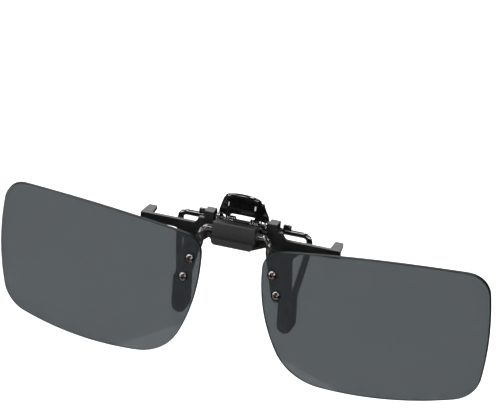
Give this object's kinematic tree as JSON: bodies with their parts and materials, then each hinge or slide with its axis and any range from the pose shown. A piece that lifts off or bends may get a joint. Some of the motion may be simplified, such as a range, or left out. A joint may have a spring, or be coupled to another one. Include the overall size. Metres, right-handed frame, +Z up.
{
  "type": "clip-on sunglasses",
  "caption": "Clip-on sunglasses: two grey rectangular lenses that flip up on a detent hinge, carried by a black spring clamp with rubber-tipped jaws.",
  "frame": {"origin": "on the symmetry plane, level with the undersides of the two rim-rest tabs, at the rear face of the front pads", "axes": "+X along the width, to the right seen from the front; the front faces -Y; +Z up"},
  "size_m": [0.133, 0.0138, 0.0488],
  "materials": {
    "black_steel": "satin black coat",
    "box_steel": "satin charcoal coat",
    "gloss_black_steel": "gloss black coat",
    "bracket_steel": "semi-gloss black coat",
    "spring_steel": "black oxide",
    "pin_steel": "dark",
    "inner_steel": "plain",
    "screw_steel": "dark polished",
    "nut_steel": "black",
    "washer_rubber": "matte",
    "pad_rubber": "soft matte black",
    "gloss_black": "deep gloss",
    "lens_tint": "grey tint, polished"
  },
  "bodies": {
    "clamp": {"front_jaw": "black_steel", "hinge_box": "box_steel", "box_base": "box_steel", "detent_spring": "spring_steel", "box_rivets": "pin_steel", "pivot_pin": "pin_steel", "left_front_pad": "pad_rubber", "right_front_pad": "pad_rubber"},
    "lens_carrier": {"flip_cam": "inner_steel", "left_bracket": "bracket_steel", "right_bracket": "bracket_steel", "left_lens": "lens_tint", "right_lens": "lens_tint", "left_lens_screws": "screw_steel", "right_lens_screws": "screw_steel", "left_lens_washers": "washer_rubber", "right_lens_washers": "washer_rubber", "left_lens_nuts": "nut_steel", "right_lens_nuts": "nut_steel"},
    "grip_jaw": {"rear_jaw": "gloss_black_steel", "thumb_grip": "gloss_black", "left_rear_pad": "pad_rubber", "right_rear_pad": "pad_rubber", "left_torsion_spring": "spring_steel", "right_torsion_spring": "spring_steel"}
  },
  "joints": [
    {"name": "lens_flip", "type": "hinge", "parent": "clamp", "child": "lens_carrier", "pos_m": [0, -0.0024, 0.0022], "axis": [-1, 0, 0], "range_deg": [0, 90], "deforming": ["detent_spring"]},
    {"name": "jaw_open", "type": "hinge", "parent": "clamp", "child": "grip_jaw", "pos_m": [0, 0.0026, 0.0028], "axis": [1, 0, 0], "range_deg": [0, 20], "stiffness_Nm_per_rad": 0.15, "springref_deg": -22.92, "deforming": ["left_torsion_spring", "right_torsion_spring"]}
  ]
}
